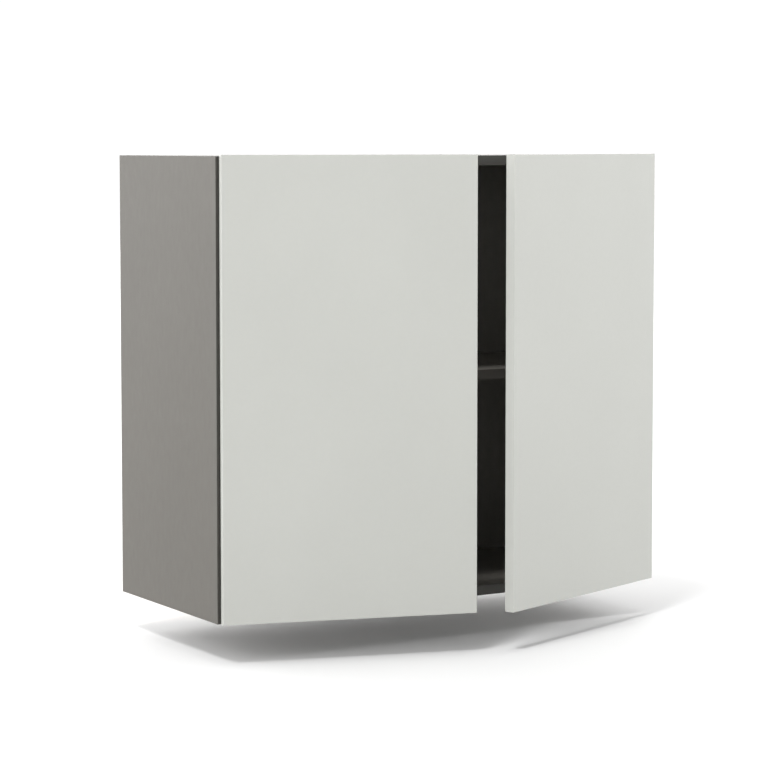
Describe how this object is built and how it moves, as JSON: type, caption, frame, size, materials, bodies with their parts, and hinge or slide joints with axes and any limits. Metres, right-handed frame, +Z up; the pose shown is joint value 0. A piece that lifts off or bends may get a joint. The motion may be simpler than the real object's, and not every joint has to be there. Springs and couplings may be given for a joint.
{
  "type": "kitchen wall cabinet",
  "caption": "Wall-hung kitchen cabinet with a shelf, a pair of overlay doors on concealed cup hinges, and adjustable hangers that hook on wall plates.",
  "frame": {"origin": "middle of the four wall screw holes, on the wall plane", "axes": "+X right along the width, +Y into the wall, +Z up; the doors face -Y"},
  "size_m": [0.8, 0.4852, 0.702],
  "materials": {
    "side_board": "matt",
    "inner_board": "matt",
    "back_board": "matt",
    "door_board": "matt",
    "door_band": "matt",
    "dark_band": "matt",
    "beech": "raw",
    "hanger_plastic": "satin",
    "bumper": "satin",
    "zinc": "satin",
    "zinc_steel": "satin",
    "nickel_steel": "satin"
  },
  "bodies": {
    "carcass": {"arm_adjusting_screws": "nickel_steel", "arm_fixing_screws": "nickel_steel", "back_panel": "back_board", "bottom_edge_band": "dark_band", "bottom_panel": "inner_board", "cam_bolts": "zinc_steel", "cam_locks": "zinc", "dowels": "beech", "hanger_depth_screws": "zinc_steel", "hanger_height_screws": "zinc_steel", "hanger_hook_left": "zinc_steel", "hanger_hook_right": "zinc_steel", "hanger_housing_left": "hanger_plastic", "hanger_housing_right": "hanger_plastic", "hinge_arms_left": "nickel_steel", "hinge_arms_right": "nickel_steel", "hinge_plate_screws": "nickel_steel", "hinge_plates_left": "zinc", "hinge_plates_right": "zinc", "shelf": "inner_board", "shelf_edge_band": "dark_band", "shelf_pins": "nickel_steel", "side_edge_band_left": "dark_band", "side_edge_band_right": "dark_band", "side_panel_left": "side_board", "side_panel_right": "side_board", "top_edge_band": "dark_band", "top_panel": "inner_board", "wall_plate_left": "zinc_steel", "wall_plate_right": "zinc_steel"},
    "left_door": {"door_left": "door_board", "door_edge_band_left": "door_band", "hinge_cups_left": "nickel_steel", "hinge_pins_left": "nickel_steel", "cup_screws_left": "nickel_steel", "door_bumpers_left": "bumper"},
    "right_door": {"door_right": "door_board", "door_edge_band_right": "door_band", "hinge_cups_right": "nickel_steel", "hinge_pins_right": "nickel_steel", "cup_screws_right": "nickel_steel", "door_bumpers_right": "bumper"}
  },
  "joints": [
    {"name": "left_door_swing", "type": "hinge", "parent": "carcass", "child": "left_door", "pos_m": [-0.3898, -0.341, -0.305], "axis": [0, 0, -1], "range_deg": [-16, 79]},
    {"name": "right_door_swing", "type": "hinge", "parent": "carcass", "child": "right_door", "pos_m": [0.3898, -0.341, -0.305], "axis": [0, 0, 1], "range_deg": [-20.5, 74.5]}
  ]
}
